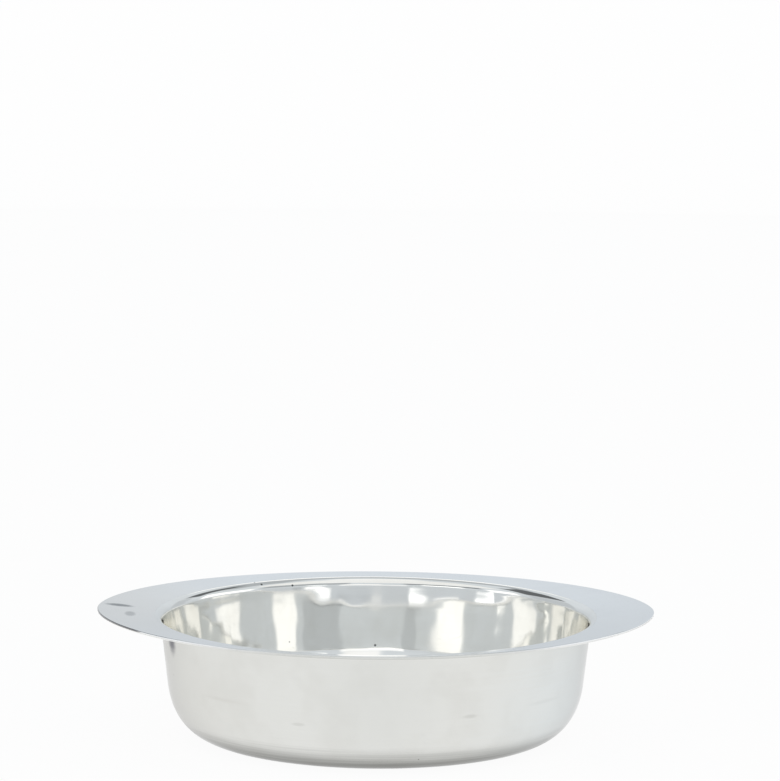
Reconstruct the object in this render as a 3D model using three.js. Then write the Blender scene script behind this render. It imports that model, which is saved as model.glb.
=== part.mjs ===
// A low round vegetable dish with two pointed ears: a drawn bowl, a pressed rim laid on the seat round the
// bowl's lip, and a flat half-round wire under the rim's edge. It stands on the origin, X along the ears.

import * as THREE from 'three';

// Bowl
const bowlDiameter = 216.6; // outside, across the top of the wall
const bowlSheet = 1.2;
const wallLean = THREE.MathUtils.degToRad(6.7); // how far the wall leans out from upright
const cornerHeight = 28; // table to where the corner has become the wall
const baseDiameter = 153.2; // where the flat base starts to turn up into the corner
const cornerFullness = 0.59; // 0.55 makes the corner nearly a part of an ellipse, more makes it squarer
const kickDiameter = 118; // the base's centre, pushed up so that the dish stands on a flat ring
const kickRise = 0.8;
const kickEase = 9; // width of the soft step between the standing ring and the raised centre

// Lip turned out to the rim, and the sunk seat outside it
const lipHeight = 62.15; // table to the seam between lip and rim
const lipRadius = 4.6; // of the lip's showing face, from the wall's slope to the rim's
const seatWidth = 3.2;

// Rim
const rimSheet = 0.9;
const rimTilt = THREE.MathUtils.degToRad(7.2); // how steeply the rim leaves the seam
const frontWidth = 10.1; // seam to edge in front and behind
const earWidth = 28.9; // seam to tip of each ear
const earTipRise = 2.95; // tips above the seam
const earExponent = 1.1; // 1 makes the outline an ellipse, more draws the ears to a finer point
const edgeRound = 0.45;

// Edge wire, and the film of solder in both joints
const wireWidth = 2.4;
const wireDrop = 0.6;
const solderFilm = 0.1;

// Facets
const stepsRound = 100;
const kickSteps = 3;
const cornerSteps = 10;
const lipSteps = 6;
const rimSteps = 4;
const edgeSteps = 2;
const wireSteps = 6;

const silver = (roughness) => new THREE.MeshStandardMaterial({ color: 0xd8dbdb, metalness: 1, roughness });

// The lip's two faces are arcs round one centre, which follow the wall's slope below and the rim's at the seam.
const outOfWall = new THREE.Vector2(Math.cos(wallLean), -Math.sin(wallLean));
const lipCentre = new THREE.Vector2(
  bowlDiameter / 2 + outOfWall.x * (lipRadius - bowlSheet),
  lipHeight - lipRadius * Math.cos(rimTilt),
);
const wallTop = lipCentre.clone().addScaledVector(outOfWall, bowlSheet - lipRadius);
const seamRadius = lipCentre.x - lipRadius * Math.sin(rimTilt);
const seatDrop = rimSheet + solderFilm;

// Each point moved to the left of the line's direction there, square to it.
function offsetLeft(points, distance) {
  return points.map((point, i) => {
    const before = points[Math.max(i - 1, 0)];
    const after = points[Math.min(i + 1, points.length - 1)];
    const along = after.clone().sub(before).normalize();
    return new THREE.Vector2(point.x - along.y * distance, point.y + along.x * distance);
  });
}

// The bowl's section: the outer face from the axis to the lip, the seat, and the inner face back to the axis.
function bowl() {
  const baseRadius = baseDiameter / 2;
  const kickRadius = kickDiameter / 2;
  const kick = new THREE.CubicBezierCurve(
    new THREE.Vector2(kickRadius - kickEase, kickRise),
    new THREE.Vector2(kickRadius - kickEase / 2, kickRise),
    new THREE.Vector2(kickRadius - kickEase / 2, 0),
    new THREE.Vector2(kickRadius, 0),
  );
  const onWall = (height) => new THREE.Vector2(wallTop.x + Math.tan(wallLean) * (height - wallTop.y), height);
  const cornerTop = onWall(cornerHeight);
  const corner = new THREE.CubicBezierCurve(
    new THREE.Vector2(baseRadius, 0),
    new THREE.Vector2(baseRadius + cornerFullness * (cornerTop.x - baseRadius), 0),
    onWall(cornerHeight * (1 - cornerFullness)),
    cornerTop,
  );
  const [wallEnd, seamEnd] = [Math.PI - wallLean, Math.PI / 2 + rimTilt];
  const lipArc = (radius) =>
    new THREE.EllipseCurve(lipCentre.x, lipCentre.y, radius, radius, wallEnd, seamEnd, true).getPoints(lipSteps);

  const middle = new THREE.Vector2(0, kickRise);
  const pan = [middle, ...kick.getPoints(kickSteps), ...corner.getPoints(cornerSteps)];
  const inside = offsetLeft([...pan, wallTop], bowlSheet).slice(0, -1);

  // The seat's underside lies lower than the lip's by the seat's drop, so the lip's under face ends early.
  const seatTop = (radius) => lipHeight - seatDrop + Math.tan(rimTilt) * (radius - seamRadius);
  const seatOut = seamRadius + seatWidth;
  const seat = [
    new THREE.Vector2(seatOut, seatTop(seatOut) - bowlSheet),
    new THREE.Vector2(seatOut, seatTop(seatOut)),
    new THREE.Vector2(seamRadius, seatTop(seamRadius)),
  ];
  const under = lipArc(lipRadius - bowlSheet).filter((point) => point.y < seatTop(point.x) - bowlSheet);
  const profile = [...pan, ...under, ...seat, ...lipArc(lipRadius).reverse(), ...inside.reverse()];
  return new THREE.LatheGeometry(profile, stepsRound).rotateX(Math.PI / 2);
}

// The rim's top is a shallow dished cone round the bowl's axis, cut to the eared outline.
const halfLength = seamRadius + earWidth;
const halfDepth = seamRadius + frontWidth;
const easing = (Math.tan(rimTilt) * earWidth - earTipRise) / earWidth ** 2;

function outline(angle) {
  const sine = Math.sin(angle);
  const y = halfDepth * Math.sign(sine) * Math.abs(sine) ** earExponent;
  return new THREE.Vector2(halfLength * Math.cos(angle), y);
}

function inward(angle) {
  const step = 0.01;
  const along = outline(angle + step).sub(outline(angle - step)).normalize();
  return new THREE.Vector2(-along.y, along.x);
}

// A point of the rim's edge or wire: so far in from the outline, and so far under the rim's top.
const fromEdge = (angle, inset) => outline(angle).addScaledVector(inward(angle), inset);

function underTop(point, drop) {
  const out = point.length() - seamRadius;
  return new THREE.Vector3(point.x, point.y, lipHeight + Math.tan(rimTilt) * out - easing * out ** 2 - drop);
}

// A closed ring, from the points of its section at each angle, in order round the section.
function ring(sectionAt) {
  const positions = [];
  const index = [];
  for (let i = 0; i < stepsRound; i++) {
    const section = sectionAt((i / stepsRound) * 2 * Math.PI);
    const size = section.length;
    section.forEach((point, j) => {
      positions.push(...point.toArray());
      const here = i * size;
      const next = ((i + 1) % stepsRound) * size;
      const k = (j + 1) % size;
      index.push(here + j, next + j, here + k, here + k, next + j, next + k);
    });
  }
  const geometry = new THREE.BufferGeometry();
  geometry.setAttribute('position', new THREE.Float32BufferAttribute(positions, 3));
  geometry.setIndex(index);
  geometry.computeVertexNormals();
  return geometry;
}

function rim() {
  return ring((angle) => {
    const seam = new THREE.Vector2(Math.cos(angle), Math.sin(angle)).multiplyScalar(seamRadius + solderFilm);
    const flatEnd = fromEdge(angle, edgeRound);
    const flat = Array.from({ length: rimSteps + 1 }, (_, i) => seam.clone().lerp(flatEnd, i / rimSteps));
    const top = flat.map((point) => underTop(point, 0));
    const bottom = flat.map((point) => underTop(point, rimSheet));
    const edge = [];
    for (let i = 1; i <= edgeSteps; i++) {
      const turn = ((i / edgeSteps) * Math.PI) / 2;
      const inset = edgeRound * (1 - Math.sin(turn));
      edge.push(underTop(fromEdge(angle, inset), edgeRound * (1 - Math.cos(turn))));
    }
    edge.push(underTop(outline(angle), rimSheet));
    return [...bottom, ...edge.reverse(), ...top.reverse()];
  });
}

function edgeWire() {
  const flat = rimSheet + solderFilm;
  return ring((angle) =>
    Array.from({ length: wireSteps + 1 }, (_, i) => {
      const turn = (i / wireSteps) * Math.PI;
      const inset = (wireWidth / 2) * (1 + Math.cos(turn));
      return underTop(fromEdge(angle, inset), flat + wireDrop * Math.sin(turn));
    }),
  );
}

const dish = new THREE.Group();

function add(name, geometry, material) {
  const mesh = new THREE.Mesh(geometry, material);
  mesh.name = name;
  dish.add(mesh);
}

add('bowl', bowl(), silver(0.2));
add('rim', rim(), silver(0.12));
add('edge_wire', edgeWire(), silver(0.16));

export default dish;
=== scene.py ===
import math
import bmesh
import bpy
import numpy as np
from mathutils import Matrix, Vector


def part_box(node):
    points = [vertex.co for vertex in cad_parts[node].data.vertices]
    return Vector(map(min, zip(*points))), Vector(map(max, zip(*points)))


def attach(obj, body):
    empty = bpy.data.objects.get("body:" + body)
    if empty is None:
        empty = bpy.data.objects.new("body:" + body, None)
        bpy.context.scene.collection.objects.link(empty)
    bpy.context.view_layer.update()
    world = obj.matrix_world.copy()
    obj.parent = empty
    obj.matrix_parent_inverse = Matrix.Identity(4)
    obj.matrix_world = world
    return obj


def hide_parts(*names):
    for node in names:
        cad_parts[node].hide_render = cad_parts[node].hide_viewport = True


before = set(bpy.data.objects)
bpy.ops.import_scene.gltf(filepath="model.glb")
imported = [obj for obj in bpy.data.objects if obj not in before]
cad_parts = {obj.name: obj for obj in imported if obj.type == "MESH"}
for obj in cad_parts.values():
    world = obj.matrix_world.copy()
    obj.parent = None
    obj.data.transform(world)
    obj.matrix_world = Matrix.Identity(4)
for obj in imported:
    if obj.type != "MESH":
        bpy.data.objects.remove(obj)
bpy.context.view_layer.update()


# The camera has a long lens and stands about two and a quarter metres away, looking ten degrees down and
# turned a hair clockwise. The middle of the dish's mouth falls below the middle of the picture.
MM = 0.001
mouth_height = 62.4 * MM
picture_px = Vector((780, 781))
mouth_px = Vector((377.7, 613.6))
lens_px = 4500
metres_per_px = 0.504 * MM
look_down = math.radians(10.2)
camera_roll = 0.0086
sensor_width = 36

right_px, down_px = mouth_px - picture_px / 2
pitch = look_down - math.atan(down_px / lens_px)
yaw = math.atan(right_px / lens_px)
aim = (
    Matrix.Rotation(yaw, 4, "Z")
    @ Matrix.Rotation(math.pi / 2 - pitch, 4, "X")
    @ Matrix.Rotation(camera_roll, 4, "Z")
)
roll_back = Matrix.Rotation(-camera_roll, 3, "Z")
to_mouth = aim.to_3x3() @ (roll_back @ Vector((right_px, -down_px, -lens_px))).normalized()
camera_place = Vector((0, 0, mouth_height)) - to_mouth * lens_px * metres_per_px
camera = bpy.data.objects.new("camera", bpy.data.cameras.new("camera"))
camera.data.sensor_width = sensor_width
camera.data.lens = sensor_width * lens_px / max(picture_px)
camera.matrix_world = Matrix.Translation(camera_place) @ aim
bpy.context.scene.collection.objects.link(camera)
bpy.context.scene.camera = camera


# The bowl is drawn from one sheet: a base pushed up a little at its centre, a full soft corner, a wall that
# leans out a little and a lip turned out into a sunk seat for the rim. It is silver plated, satin outside and
# bright inside.
bowl_radius = 108.3 * MM
bowl_sheet = 1.2 * MM
wall_lean = math.radians(6.7)
corner_height = 28 * MM
corner_fullness = 0.59
base_radius = 76.6 * MM
kick_radius = 59 * MM
kick_rise = 0.8 * MM
kick_ease = 9 * MM
lip_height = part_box("bowl")[1].z
lip_radius = 4.6 * MM
seat_width = 3.2 * MM
seat_drop = 1 * MM
rim_tilt = math.radians(7.2)

ripple_depth = 0.4 * MM
ripple_counts = (3, 4, 6, 7, 9, 11, 14, 17, 21, 26, 32)
ripple_fade = 1.15
most_twist = 60

steps_round = 360
base_steps = 12
kick_steps = 13
corner_steps = 41
wall_steps = 25
lip_steps = 25


def curve(points, steps):
    """A cubic curve through its first and last point, drawn towards the two between."""
    t = np.linspace(0, 1, steps)[:, None]
    a, b, c, d = np.array(points)
    return (1 - t) ** 3 * a + 3 * t * (1 - t) ** 2 * b + 3 * t**2 * (1 - t) * c + t**3 * d


def offset_left(points, distance):
    along = np.gradient(points, axis=0)
    along /= np.linalg.norm(along, axis=1)[:, None]
    return points + distance * np.stack([-along[:, 1], along[:, 0]], 1)


def soft_step(value, low, high):
    t = np.clip((value - low) / (high - low), 0, 1)
    return t * t * (3 - 2 * t)


class Reading:
    """A value read off the surface. Sums of readings become the finish's own Math nodes."""

    def __init__(self, tree, socket=None):
        self.tree = tree
        self.socket = socket

    def node(self, kind, settings, sockets, out=0):
        made = self.tree.nodes.new(kind)
        for name, value in settings.items():
            setattr(made, name, value)
        for name, value in sockets.items():
            if isinstance(value, Reading):
                self.tree.links.new(value.socket, made.inputs[name])
            else:
                made.inputs[name].default_value = value
        return None if out is None else Reading(self.tree, made.outputs[out])

    def sum(self, operation, *terms):
        return self.node("ShaderNodeMath", {"operation": operation}, dict(enumerate(terms)))

    def __add__(self, other):
        return self.sum("ADD", self, other)

    def __sub__(self, other):
        return self.sum("SUBTRACT", self, other)

    def __rsub__(self, other):
        return self.sum("SUBTRACT", other, self)

    def __mul__(self, other):
        return self.sum("MULTIPLY", self, other)

    def __truediv__(self, other):
        return self.sum("DIVIDE", self, other)

    def __pow__(self, other):
        return self.sum("POWER", self, other)

    def __abs__(self):
        return self.sum("ABSOLUTE", self)

    __radd__ = __add__
    __rmul__ = __mul__


def silver_plate(name, clean, hazed, glancing, bright, dull, buffing, hammering, marks_and_painted_light):
    """Silver plate with its colour where clean, hazed and seen at a glance, its roughness where bright and
    dull, and the depth of its buffing and hammering in millimetres. Each of its marks, and each patch of
    painted light or shade, has a middle and a reach in millimetres, the share of the reach that is all
    painted, a strength and a colour."""
    scratch_tone = (0.62, 0.63, 0.63, 1)
    speck_tone = (0.2, 0.19, 0.17, 1)
    speck_gap = 11
    smudge_grain = 24
    hammer_grain = 22
    hairline = 0.012

    material = bpy.data.materials.new(name)
    material.use_nodes = True
    tree = material.node_tree
    metal = Reading(tree)
    shader = tree.nodes["Principled BSDF"]
    shader.inputs["Metallic"].default_value = 1
    shader.inputs["Specular Tint"].default_value = (*glancing, 1)

    place = metal.node("ShaderNodeTexCoord", {}, {}, "Object")
    place = metal.node("ShaderNodeVectorMath", {"operation": "SCALE"}, {0: place, "Scale": 1 / MM})

    def xyz(part):
        return metal.node("ShaderNodeSeparateXYZ", {}, {0: place}, part)

    def spread(vector, grain, detail, roughness=0.5):
        """Noise from 0 to 1, with a grain of so many of the vector's units."""
        return metal.node("ShaderNodeTexNoise", {"normalize": True}, {
            "Vector": vector, "Scale": 1 / grain, "Detail": detail, "Roughness": roughness,
        })

    def between(value, low, high):
        return metal.node("ShaderNodeMapRange", {"interpolation_type": "SMOOTHSTEP"}, {
            "Value": value, "From Min": low, "From Max": high,
        })

    def blend(share, under, over):
        return metal.node("ShaderNodeMix", {"data_type": "RGBA"}, {0: share, 6: under, 7: over}, 2)

    # The mop runs round the dish, so its lines are long round the axis and fine along the section.
    across, deep, up = xyz("X"), xyz("Y"), xyz("Z")
    out = (across * across + deep * deep) ** 0.5
    lines_round, lines_along = 3, 1.4
    mopped = metal.node("ShaderNodeCombineXYZ", {}, {
        "X": across / out * lines_round, "Y": deep / out * lines_round, "Z": (up + out) * lines_along,
    })
    buffed = spread(mopped, grain=1, detail=4, roughness=0.65)
    wiped = spread(mopped, grain=2.2, detail=2)
    smudged = between(spread(place, smudge_grain, detail=3, roughness=0.55), 0.42, 0.66)

    def scratches(lean, length, gap):
        leaning = metal.node("ShaderNodeVectorRotate", {"rotation_type": "EULER_XYZ"}, {
            "Vector": place, "Rotation": lean,
        })
        leaning = metal.node("ShaderNodeVectorMath", {"operation": "MULTIPLY"}, {
            0: leaning, 1: (1 / length, 1 / gap, 1 / gap),
        })
        fine = 1 - between(abs(spread(leaning, grain=1, detail=1) - 0.5), 0, hairline)
        return fine * between(spread(leaning, grain=1.7, detail=0), 0.6, 0.72)

    scratched = scratches((0.3, 0.2, 0.5), 30, 3.4) + scratches((0.1, 0.6, 2.1), 18, 4.2)
    scratched = metal.sum("MINIMUM", scratched, 1)

    def one_in_each_cell(output):
        return metal.node("ShaderNodeTexVoronoi", {}, {"Vector": place, "Scale": 1 / speck_gap}, output)

    chance = metal.node("ShaderNodeSeparateColor", {}, {0: one_in_each_cell("Color")}, "Red")
    speck = (1 - between(one_in_each_cell("Distance"), 0.015, 0.045)) * between(chance, 0.6, 0.75)

    dulled = smudged * 0.6 + (wiped - 0.5) * 0.5 + (buffed - 0.5) * 0.3
    dulled = metal.node("ShaderNodeClamp", {}, {0: dulled + 0.15})
    colour = blend(dulled * 0.8, (*clean, 1), (*hazed, 1))
    colour = blend(scratched * 0.12, colour, scratch_tone)
    colour = blend(speck * 0.85, colour, speck_tone)
    ragged = (wiped - 0.5) * 0.2
    # Each mark, and each patch of painted light or shade, is blended into the colour here.
    for middle, reach, all_painted, strength, tone in marks_and_painted_light.values():
        away = metal.node("ShaderNodeVectorMath", {"operation": "SUBTRACT"}, {0: place, 1: middle})
        away = metal.node("ShaderNodeVectorMath", {"operation": "DIVIDE"}, {0: away, 1: reach})
        away = metal.node("ShaderNodeVectorMath", {"operation": "LENGTH"}, {0: away}, "Value")
        painted_share = 1 - between(away + ragged, all_painted, 1)
        colour = blend(painted_share * strength, colour, (*tone, 1))
    tree.links.new(colour.socket, shader.inputs["Base Color"])
    rough = bright + dulled * (dull - bright) + scratched * 0.06 + speck * 0.3
    tree.links.new(rough.socket, shader.inputs["Roughness"])
    height = buffed * buffing - scratched * buffing * 0.6 - speck * 0.01
    height = height + spread(place, hammer_grain, detail=1) * hammering
    bump = metal.node("ShaderNodeBump", {}, {"Height": height, "Strength": 1, "Distance": MM}, "Normal")
    tree.links.new(bump.socket, shader.inputs["Normal"])
    return material


def piece(name, rings, node, material):
    """A closed smooth mesh from rings of points, which stands for one CAD node."""
    same_point = 1e-7
    sharp_edge = math.radians(35)
    rows, columns = rings.shape[:2]
    here = np.arange(rows * columns).reshape(rows, columns)
    on, up = np.roll(here, -1, 1), np.roll(here, -1, 0)
    faces = np.stack([here, on, np.roll(up, -1, 1), up], -1).reshape(-1, 4)
    mesh = bpy.data.meshes.new(name)
    mesh.from_pydata(rings.reshape(-1, 3).tolist(), [], faces.tolist())
    merged = bmesh.new()
    merged.from_mesh(mesh)
    bmesh.ops.remove_doubles(merged, verts=merged.verts, dist=same_point)
    loose = [edge for edge in merged.edges if not edge.link_faces]
    bmesh.ops.delete(merged, geom=loose, context="EDGES")
    merged.to_mesh(mesh)
    mesh.shade_smooth()
    mesh.set_sharp_from_angle(angle=sharp_edge)
    mesh.materials.append(material)
    made = bpy.data.objects.new(name, mesh)
    bpy.context.scene.collection.objects.link(made)
    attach(made, "root")
    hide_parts(node)
    return made


def turned_on_axis(profile):
    angle = np.linspace(0, 2 * math.pi, steps_round, endpoint=False)
    r, z = profile[:, :1], profile[:, 1:]
    return np.stack([r * np.cos(angle), r * np.sin(angle), z + 0 * angle], -1)


def rippled(rings):
    """The slight ripples that drawing and hammering leave in the wall and the corner under it."""
    ripple = np.random.default_rng(4)
    x, y, z = np.moveaxis(rings, -1, 0)
    angle, out = np.arctan2(y, x), np.hypot(x, y)
    push = np.zeros_like(x)
    for count in ripple_counts:
        start, twist = ripple.uniform(0, 2 * math.pi), ripple.uniform(-most_twist, most_twist)
        push += ripple_depth / count**ripple_fade * np.cos(count * angle + start + twist * z)
    push *= soft_step(out, 80 * MM, 100 * MM) * soft_step(z, 2 * MM, 20 * MM)
    push *= 1 - soft_step(z, 52 * MM, 59.5 * MM)
    return rings + np.stack([push * np.cos(angle), push * np.sin(angle), 0 * z], -1)


def on_wall(height):
    return wall_top[0] + math.tan(wall_lean) * (height - wall_top[1]), height


def lip_arc(radius):
    turn = np.linspace(math.pi - wall_lean, math.pi / 2 + rim_tilt, lip_steps)
    return lip_centre + radius * np.stack([np.cos(turn), np.sin(turn)], 1)


out_of_wall = np.array([math.cos(wall_lean), -math.sin(wall_lean)])
lip_centre = np.array([
    bowl_radius + out_of_wall[0] * (lip_radius - bowl_sheet),
    lip_height - lip_radius * math.cos(rim_tilt),
])
wall_top = lip_centre + out_of_wall * (bowl_sheet - lip_radius)
seam_radius = lip_centre[0] - lip_radius * math.sin(rim_tilt)
seat_out = seam_radius + seat_width
seat_top = lip_height - seat_drop
seat_rise = seat_width * math.tan(rim_tilt)

kick_start = kick_radius - kick_ease
kick_middle = kick_radius - kick_ease / 2
corner_top = on_wall(corner_height)
pan = np.concatenate([
    np.linspace((0, kick_rise), (kick_start, kick_rise), base_steps)[:-1],
    curve([
        (kick_start, kick_rise),
        (kick_middle, kick_rise),
        (kick_middle, 0),
        (kick_radius, 0),
    ], kick_steps),
    curve([
        (base_radius, 0),
        (base_radius + corner_fullness * (corner_top[0] - base_radius), 0),
        on_wall(corner_height * (1 - corner_fullness)),
        corner_top,
    ], corner_steps),
    np.linspace(corner_top, wall_top, wall_steps)[1:],
])
under_lip = lip_arc(lip_radius - bowl_sheet)
under_seat = seat_top - bowl_sheet + math.tan(rim_tilt) * (under_lip[:, 0] - seam_radius)
bowl_profile = np.concatenate([
    pan[:-1],
    under_lip[under_lip[:, 1] < under_seat],
    [(seat_out, seat_top - bowl_sheet + seat_rise)],
    [(seat_out, seat_top + seat_rise)],
    [(seam_radius, seat_top)],
    lip_arc(lip_radius)[::-1],
    offset_left(pan, bowl_sheet)[-2::-1],
])
satin_silver = silver_plate(
    "satin_silver",
    clean=(0.77, 0.775, 0.75), hazed=(0.72, 0.72, 0.69), glancing=(0.8, 0.8, 0.8),
    bright=0.1, dull=0.22, buffing=0.001, hammering=0.05,
    marks_and_painted_light={
        # Painted reflection: the wall is tinted warm on its left and cool on its right, as the room round it
        # would reflect.
        "painted_warm_reflection_left_wall": ((-160, -60, 25), (130, 130, 80), 0.2, 0.6, (0.68, 0.67, 0.63)),
        "painted_cool_reflection_right_wall": ((160, -60, 25), (130, 130, 80), 0.2, 0.85, (0.73, 0.785, 0.81)),
        # Painted shade: the front of the wall is darker.
        "painted_shade_front_wall": ((0, -108, 40), (45, 40, 60), 0.1, 0.35, (0.68, 0.69, 0.67)),
        # Painted shade: the turn of the base is dark, in place of the shadowed floor that it reflects.
        "painted_shade_at_foot": ((0, 0, -2), (220, 220, 19), 0.25, 1, (0.08, 0.08, 0.07)),
        # Painted reflection: a dark patch on the wall under the left ear, in place of the dark underside it
        # reflects.
        "painted_dark_reflection_under_left_ear": ((-101, -37.5, 57), (7, 8, 12), 0.3, 0.9, (0.1, 0.1, 0.13)),
        # Faint darker bands and spots across the front of the wall.
        "left_darker_band": ((-75, -75, 32.5), (22, 22, 1.6), 0.2, 0.14, (0.55, 0.53, 0.49)),
        "right_darker_band": ((85, -65, 31), (18, 18, 1.6), 0.2, 0.14, (0.55, 0.56, 0.55)),
        "left_darker_spot": ((-37, -97.5, 25.3), (5, 5, 1.3), 0.2, 0.3, (0.5, 0.5, 0.47)),
        "right_darker_spot": ((46, -94, 29.2), (6, 4, 1.5), 0.2, 0.35, (0.5, 0.5, 0.47)),
    },
)
bright_silver = silver_plate(
    "bright_silver",
    clean=(0.9, 0.895, 0.87), hazed=(0.85, 0.84, 0.805), glancing=(1, 1, 1),
    bright=0.04, dull=0.09, buffing=0.0002, hammering=0.3,
    marks_and_painted_light={
        "pit_under_lip": ((-59.9, 90.6, 61), (0.8, 0.8, 0.8), 0.5, 0.9, (0.12, 0.12, 0.12)),
        "pit_beside_it": ((-63.6, 90.5, 62.1), (0.6, 0.6, 0.6), 0.5, 0.7, (0.12, 0.12, 0.12)),
        "pit_further_back": ((-43.9, 98.1, 59.3), (0.8, 0.8, 0.8), 0.5, 0.9, (0.12, 0.12, 0.12)),
        "pit_on_the_wall": ((-0.2, 103.4, 26.8), (0.8, 0.8, 0.8), 0.5, 0.9, (0.12, 0.12, 0.12)),
    },
)
drawn_bowl = piece(
    "drawn_bowl", rippled(turned_on_axis(bowl_profile)), "bowl", satin_silver
)
drawn_bowl.data.materials.append(bright_silver)
facing_up = 0.05
for face in drawn_bowl.data.polygons:
    face.material_index = 1 if face.normal.z > facing_up else 0


# The rim is pressed from thinner sheet: a shallow dished cone with a round opening, cut to two ears, laid on
# the bowl's seat and soldered. Its rounded edge has painted shade in front and at the left.
rim_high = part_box("rim")[1]
rim_sheet = 0.9 * MM
polished_seam = 0.02 * MM
edge_round = 0.45 * MM
ear_tip_rise = 2.95 * MM
ear_exponent = 1.1
half_length, half_depth = rim_high.x, rim_high.y
ear_width = half_length - seam_radius
easing = (math.tan(rim_tilt) * ear_width - ear_tip_rise) / ear_width**2
around = np.linspace(0, 2 * math.pi, 2 * steps_round, endpoint=False)
flat_steps = 33
edge_steps = 7


def outline(angle):
    sine = np.sin(angle)
    y = half_depth * np.sign(sine) * np.abs(sine) ** ear_exponent
    return np.stack([half_length * np.cos(angle), y], -1)


def from_edge(inset):
    step = 0.01
    along = outline(around + step) - outline(around - step)
    along /= np.linalg.norm(along, axis=-1)[:, None]
    return outline(around) + inset * np.stack([-along[:, 1], along[:, 0]], -1)


def under_top(plan, drop):
    """Points of a plan, so far under the rim's top."""
    out = np.linalg.norm(plan, axis=-1) - seam_radius
    z = lip_height + math.tan(rim_tilt) * out - easing * out**2 - drop
    return np.concatenate([plan, z[:, None]], -1)


seam = (seam_radius + polished_seam) * np.stack([np.cos(around), np.sin(around)], -1)
flat = [seam + (from_edge(edge_round) - seam) * share for share in np.linspace(0, 1, flat_steps)]
edge = [
    under_top(from_edge(edge_round * (1 - math.sin(turn))), edge_round * (1 - math.cos(turn)))
    for turn in np.linspace(0, math.pi / 2, edge_steps)[1:]
]
rim_rings = [under_top(plan, rim_sheet) for plan in flat] + [under_top(outline(around), rim_sheet)]
rim_rings += edge[::-1] + [under_top(plan, 0) for plan in flat[::-1]]
rim_silver = silver_plate(
    "rim_silver",
    clean=(0.89, 0.9, 0.905), hazed=(0.84, 0.85, 0.86), glancing=(1, 1, 1),
    bright=0.04, dull=0.1, buffing=0.0005, hammering=0.15,
    marks_and_painted_light={
        # Painted reflection: the left ear is tinted warm.
        "painted_warm_reflection_left_ear": ((-150, 0, 64), (110, 150, 80), 0.2, 0.7, (0.88, 0.84, 0.79)),
        # Painted reflection: two near-black marks on the left ear stand in for dark things that it reflects.
        "painted_dark_reflection_streak_left_ear": ((-129.5, 8.3, 64.2), (9, 4.5, 4), 0.4, 0.9, (0.04, 0.05, 0.06)),
        "painted_dark_reflection_spot_left_ear": ((-123, -12.5, 63.6), (3.5, 9, 4), 0.4, 0.5, (0.05, 0.06, 0.07)),
    },
)
# Painted shade: the rim's edge and the wire are darker in front.
painted_front_shade = ((0, -125, 62), (125, 70, 40), 0.3, 0.95, (0.67, 0.68, 0.66))
edge_silver = silver_plate(
    "edge_silver",
    clean=(0.89, 0.9, 0.905), hazed=(0.84, 0.85, 0.86), glancing=(1, 1, 1),
    bright=0.08, dull=0.16, buffing=0.0005, hammering=0.03,
    marks_and_painted_light={
        "painted_front_shade": painted_front_shade,
        # Painted shade: the left end of the edge is nearly black.
        "painted_shade_left_edge": ((-140, -30, 64), (34, 60, 12), 0.85, 0.85, (0.1, 0.1, 0.11)),
    },
)
eared_rim = piece("eared_rim", np.array(rim_rings), "rim", rim_silver)
eared_rim.data.materials.append(edge_silver)
edge_faces_down, edge_faces_up = -0.3, 0.9
for face in eared_rim.data.polygons:
    face.material_index = 1 if edge_faces_down < face.normal.z < edge_faces_up else 0


# The edge wire is a flat half-round wire, bent to the rim's outline and soldered under its outer edge, where
# it makes the edge thick and smooth to hold.
wire_width = 2.4 * MM
wire_drop = 0.6 * MM
solder_film = 0.1 * MM
wire_steps = 13
wire_top = rim_sheet + solder_film
wire_rings = [
    under_top(from_edge(wire_width / 2 * (1 + math.cos(turn))), wire_top + wire_drop * math.sin(turn))
    for turn in np.linspace(0, math.pi, wire_steps)
]
wire_silver = silver_plate(
    "wire_silver",
    clean=(0.87, 0.875, 0.86), hazed=(0.82, 0.825, 0.81), glancing=(1, 1, 1),
    bright=0.08, dull=0.16, buffing=0.0005, hammering=0.03,
    # Painted shade: the wire is darker in front.
    marks_and_painted_light={"painted_front_shade": painted_front_shade},
)
piece("rim_edge_wire", np.array(wire_rings), "edge_wire", wire_silver)


# The studio has a wide matt white floor, which looks plain white and keeps the dish's shadow, in a round tent
# of softly lit cloth. Windows and grey cards in the cloth give the silver something to reflect.
floor_radius = 15
floor_colour = (0.92, 0.92, 0.92, 1)
floor_plainness = 0.95
bpy.ops.mesh.primitive_circle_add(vertices=96, radius=floor_radius, fill_type="TRIFAN")
floor = bpy.context.object
floor.name = "floor"
matt_white = bpy.data.materials.new("matt_white")
matt_white.use_nodes = True
matt_white.node_tree.nodes.clear()
paper = Reading(matt_white.node_tree)
lit = paper.node("ShaderNodeBsdfDiffuse", {}, {"Color": floor_colour})
plain = paper.node("ShaderNodeEmission", {}, {"Strength": 1})
seen = paper.node("ShaderNodeLightPath", {}, {}, "Is Camera Ray")
seen += paper.node("ShaderNodeLightPath", {}, {}, "Is Glossy Ray")
seen += paper.node("ShaderNodeLightPath", {}, {}, "Is Transmission Ray")
surface = paper.node("ShaderNodeMixShader", {}, {0: seen * floor_plainness, 1: lit, 2: plain})
paper.node("ShaderNodeOutputMaterial", {}, {"Surface": surface}, None)
floor.data.materials.append(matt_white)

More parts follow.
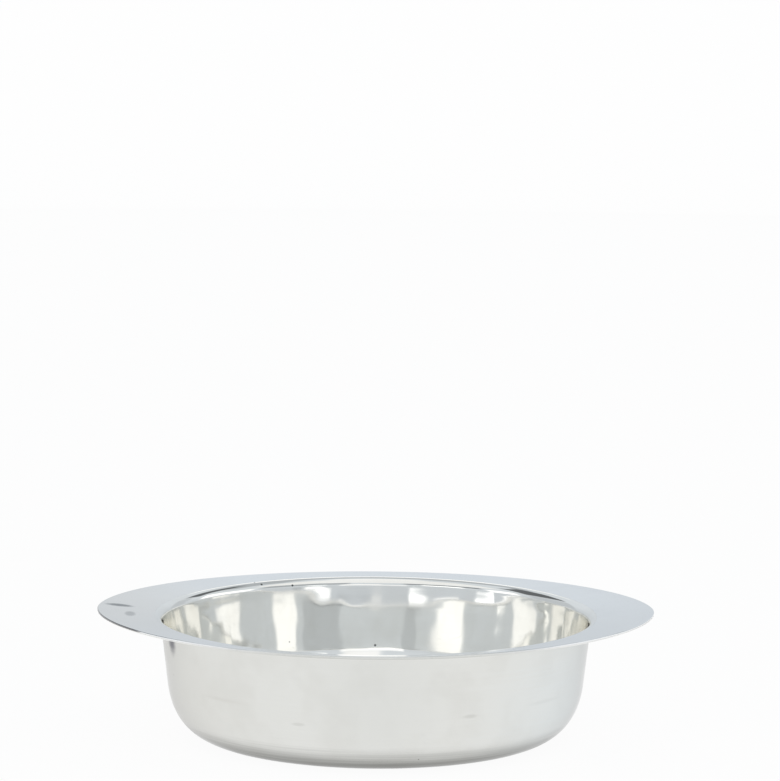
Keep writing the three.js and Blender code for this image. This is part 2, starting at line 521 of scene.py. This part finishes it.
# Each window or card by its two sides round the tent, with 0 behind the dish and 90 at its right, its lower
# and upper end above the table, its brightness, and the softness of its edge. All angles are in degrees.
windows_and_cards = {
    "grey_skirting": (0, 360, -9, 0.8, 0.5, 0.5),
    "front_ceiling": (95, 265, 40, 80, 0.97, 3),
    "back_window": (-7, 7, 26, 43, 1.2, 1.5),
    "high_card_back": (-38, 75, 44, 68, 0.5, 3),
    "dark_card_back_left": (279, 323, 29, 52, 0.15, 2),
    "dark_card_back_right": (33, 56, 29, 52, 0.15, 2),
    "ceiling": (0, 360, 78, 99, 1.02, 3),
    "card_back_left": (279, 322, 4, 26, 0.6, 2),
    "card_back_right": (31, 49, 5, 26, 0.62, 2),
    "card_front_right": (109, 164, 22, 40, 0.46, 2),
    "dark_card_front_left": (196, 245, 26, 35, 0.2, 2),
    "right_window": (66, 104, 9, 28, 1.35, 2.5),
    "left_window": (247, 268.5, 8, 27, 1.3, 2),
    "front_left_window": (207, 232, 18, 26, 1.6, 1.5),
    "front_window_below": (160, 197, 8.5, 14, 1.25, 1),
    "front_window_above": (161, 184, 14, 22, 1.05, 2),
    "front_right_window": (139, 152, 15, 18.5, 1.7, 1),
    "low_lamp_right": (104, 113, 1, 5, 1.3, 0.7),
    "low_card_right": (133, 137, 1, 5, 0.5, 0.7),
    "low_lamp_front_right": (139, 155, 1, 5, 1.4, 0.7),
    "low_card_front_right": (159, 177, 1, 5, 0.55, 0.7),
    "low_lamp_front": (178, 184, 1, 5, 0.95, 0.7),
    "low_card_front_left": (186, 198, 1, 5, 0.6, 0.7),
    "low_lamp_front_left": (199, 210, 1, 6, 1.8, 0.7),
    "weaker_low_lamp_front_left": (213, 227, 1, 5, 1.1, 0.7),
    "low_card_left": (229, 237, 1, 5, 0.65, 0.7),
    "low_lamp_left": (238, 248, 1, 6, 1.7, 0.7),
}
tent_radius = 3
degrees_round, rows_up = 1.5, 121
cool_light, warm_light = np.array([0.94, 1, 1.055]), np.array([0.99, 1, 1])
warm_above = 0.9
low_cloth, more_above = 0.67, 0.1
azimuth = np.arange(0, 360, degrees_round)[:, None]
elevation = np.linspace(0, 90, rows_up)
glow = (low_cloth + more_above * soft_step(elevation, 4, 22) + 0 * azimuth)[..., None] * cool_light
for left, right, low, high, brightness, soft in windows_and_cards.values():
    turn = (azimuth - (left + right) / 2 + 180) % 360 - 180
    inside = soft_step((right - left) / 2 - abs(turn), -soft, soft) if right - left < 360 else 1
    inside = inside * soft_step(elevation, low - soft, low + soft)
    inside = inside * (1 - soft_step(elevation, high - soft, high + soft))
    light = brightness * (warm_light if brightness > warm_above else cool_light)
    glow += inside[..., None] * (light - glow)
turn, rise = np.radians(azimuth), np.radians(elevation)
level = np.cos(rise)
dome = np.stack([level * np.sin(turn), level * np.cos(turn), np.sin(rise) + 0 * turn], -1)
here = np.arange(glow[..., 0].size).reshape(glow.shape[:2])
beside = np.roll(here, -1, 0)
faces = np.stack([here[:, :-1], here[:, 1:], beside[:, 1:], beside[:, :-1]], -1).reshape(-1, 4)
mesh = bpy.data.meshes.new("light_tent")
mesh.from_pydata((tent_radius * dome).reshape(-1, 3).tolist(), [], faces.tolist())
dyed = mesh.attributes.new("glow", "FLOAT_COLOR", "POINT")
dyed.data.foreach_set("color", np.concatenate([glow, np.ones_like(glow[..., :1])], -1).ravel())
light_tent = bpy.data.objects.new("light_tent", mesh)
bpy.context.scene.collection.objects.link(light_tent)
light_tent.visible_camera = False
lit_cloth = bpy.data.materials.new("lit_cloth")
lit_cloth.use_nodes = True
lit_cloth.node_tree.nodes.clear()
cloth = Reading(lit_cloth.node_tree)
dye = cloth.node("ShaderNodeAttribute", {"attribute_name": "glow"}, {}, "Color")
glowing = cloth.node("ShaderNodeEmission", {}, {"Color": dye})
cloth.node("ShaderNodeOutputMaterial", {}, {"Surface": glowing}, None)
mesh.materials.append(lit_cloth)

backdrop = bpy.data.worlds.new("backdrop")
bpy.context.scene.world = backdrop
backdrop.use_nodes = True
backdrop.node_tree.nodes["Background"].inputs["Color"].default_value = (0.9, 0.92, 0.94, 1)
bpy.context.scene.cycles.glossy_bounces = 12
bpy.context.scene.view_settings.view_transform = "Standard"
